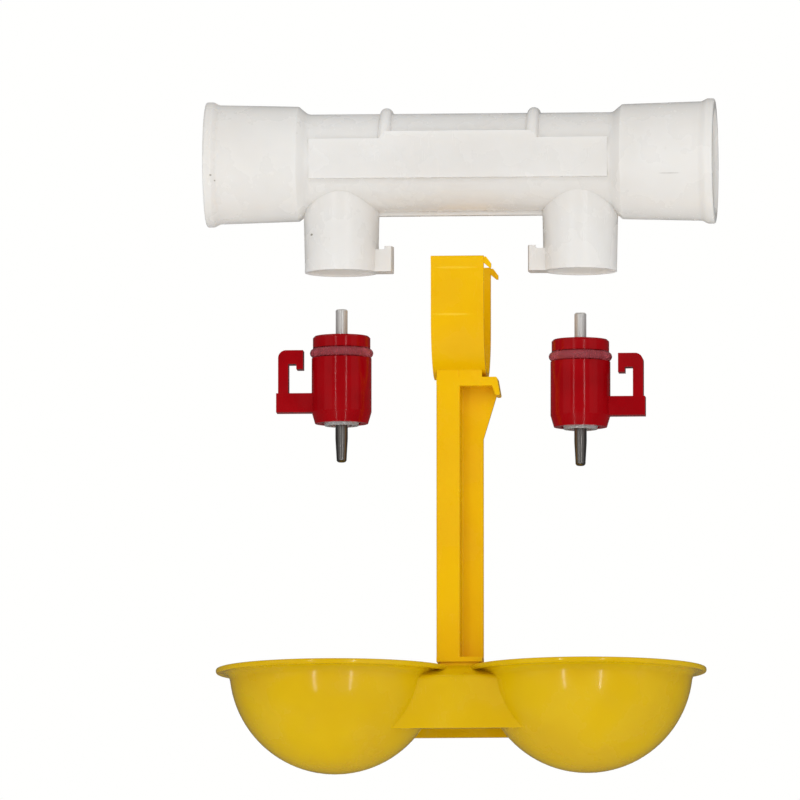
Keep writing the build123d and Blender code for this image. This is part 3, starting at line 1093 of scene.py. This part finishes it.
def stand_facing(
    thing: bpy.types.Object, target: Vector, azimuth: float, elevation: float, distance: float
) -> None:
    """Links a lamp or the camera to the scene, on a sphere round a target and facing it.

    Args:
        thing: The lamp or the camera.
        target: The point that it faces.
        azimuth: Its bearing in degrees, 0 in front and growing to the right.
        elevation: Its height in degrees above the target's level.
        distance: The sphere's radius.
    """
    turn, rise = math.radians(azimuth), math.radians(elevation)
    level = distance * math.cos(rise)
    offset = Vector((level * math.sin(turn), -level * math.cos(turn), distance * math.sin(rise)))
    thing.location = target + offset
    thing.rotation_euler = (target - thing.location).to_track_quat("-Z", "Y").to_euler()
    bpy.context.scene.collection.objects.link(thing)


@dataclass(frozen=True)
class SoftLamp:
    """An area lamp that faces the target: its place round the target, its size and its power.

    A lamp that isn't mirrored lights the pieces but leaves no reflection on them.
    """

    name: str
    azimuth: float
    elevation: float
    distance: float
    width: float
    height: float
    power: float
    mirrored: bool = True

    def place(self, target: Vector) -> None:
        """Puts the lamp into the scene, facing the target.

        Args:
            target: The point that it faces.
        """
        light = bpy.data.lights.new(self.name, "AREA")
        light.shape = "RECTANGLE"
        light.size, light.size_y = self.width, self.height
        light.energy = self.power
        lamp = bpy.data.objects.new(self.name, light)
        lamp.visible_camera = False
        lamp.visible_glossy = self.mirrored
        stand_facing(lamp, target, self.azimuth, self.elevation, self.distance)


@dataclass
class Studio:
    """The camera, the lamps, the white surround and the pale floor."""

    target: Vector = field(default_factory=lambda: Vector((-15.4 * MM, 0.0, -60.0 * MM)))
    camera_azimuth: float = 4.0
    camera_elevation: float = -6.0
    camera_distance: float = 5.0
    camera_sight: float = 50.0
    lens: float = 893.0
    sensor_width: float = 36.0
    floor_height: float = -0.75
    floor_reach: float = 6.0
    backdrop_colour: Colour = (1.0, 1.0, 0.99)
    fill_colour: Colour = (0.98, 0.99, 1.0)
    fill: float = 0.50
    gloss_fill: float = 0.08
    # Each lamp's name, azimuth, elevation, distance, width, height and power
    lamps: tuple[SoftLamp, ...] = (
        SoftLamp("front_softbox", 2.0, 28.0, 2.0, 1.4, 1.0, 9.5, mirrored=False),
        SoftLamp("left_strip", -20.0, -6.0, 1.0, 0.02, 0.9, 0.8),
        SoftLamp("right_strip", 21.0, -6.0, 1.0, 0.03, 0.9, 1.0),
        SoftLamp("left_panel", -50.0, 6.0, 1.2, 0.7, 0.9, 0.5),
        SoftLamp("right_panel", 56.0, 6.0, 1.2, 0.7, 0.9, 0.5),
        SoftLamp("top_softbox", 0.0, 80.0, 1.6, 1.2, 1.2, 4.0, mirrored=False),
        SoftLamp("back_softbox", 180.0, 35.0, 2.2, 1.4, 1.0, 9.0, mirrored=False),
    )

    def build_camera(self) -> None:
        """Places the camera at the photograph's viewing angle, with a long lens."""
        camera = bpy.data.cameras.new("camera")
        camera.lens = self.lens
        camera.sensor_width = self.sensor_width
        camera.clip_end = self.camera_sight
        holder = bpy.data.objects.new("camera", camera)
        stand_facing(
            holder, self.target, self.camera_azimuth, self.camera_elevation, self.camera_distance
        )
        bpy.context.scene.camera = holder

    def build_surround(self) -> None:
        """Makes the surround, white where it is seen, grey as a light and dark in reflections.

        The white is also what shows through clear plastic.
        """
        world = bpy.data.worlds.new("surround")
        world.use_nodes = True
        tree = world.node_tree
        seen = tree.nodes["Background"]
        set_inputs(seen, {"Color": opaque(self.backdrop_colour)})
        path = tree.nodes.new("ShaderNodeLightPath")
        result = seen.outputs[0]
        for ray, strength in (("Is Diffuse Ray", self.fill), ("Is Glossy Ray", self.gloss_fill)):
            light = tree.nodes.new("ShaderNodeBackground")
            set_inputs(light, {"Color": opaque(self.fill_colour), "Strength": strength})
            mix = tree.nodes.new("ShaderNodeMixShader")
            tree.links.new(path.outputs[ray], mix.inputs[0])
            tree.links.new(result, mix.inputs[1])
            tree.links.new(light.outputs[0], mix.inputs[2])
            result = mix.outputs[0]
        tree.links.new(result, tree.nodes["World Output"].inputs["Surface"])
        bpy.context.scene.world = world
        bpy.context.scene.view_settings.view_transform = "Standard"

    def build_floor(self, kit: FinishKit) -> None:
        """Lays the pale, softly glowing floor below the cup.

        It lights the pieces but isn't mirrored in them. It is one square face.

        Args:
            kit: The shared node groups.
        """
        reach, level = self.floor_reach, self.floor_height
        corners = np.array(
            [(-reach, -reach, level), (reach, -reach, level), (reach, reach, level), (-reach, reach, level)]
        )
        floor = make_surface("floor", corners, np.array([[0, 1, 2, 3]]))
        floor.data.materials.append(PALE_FLOOR.build(kit))
        floor.visible_glossy = False

    def build(self, kit: FinishKit) -> None:
        """Sets up the whole studio.

        Args:
            kit: The shared node groups.
        """
        self.build_camera()
        self.build_surround()
        for lamp in self.lamps:
            lamp.place(self.target)
        self.build_floor(kit)
        log.info("studio set, camera %.2f m away", self.camera_distance)


def main() -> None:
    """Builds the studio and the product in order."""
    logging.basicConfig(level=logging.INFO, format="%(name)s: %(message)s")
    kit = FinishKit()
    Studio().build(kit)
    PipeTee().build(kit)
    valve_finishes = {
        "red": VALVE_RED,
        "silicone": SILICONE,
        "inner": INNER_PLASTIC,
        "upper_steel": UPPER_STEEL,
        "lower_steel": LOWER_STEEL,
        "seat_steel": SEAT_STEEL,
        "rubber": SEAL_RUBBER,
        "clear": CLEAR_PLUG,
    }
    materials = {label: finish.build(kit) for label, finish in valve_finishes.items()}
    for side in Side:
        NippleValve(side, materials).build()
    HangingCup().build(kit)


if __name__ == "__main__":
    main()
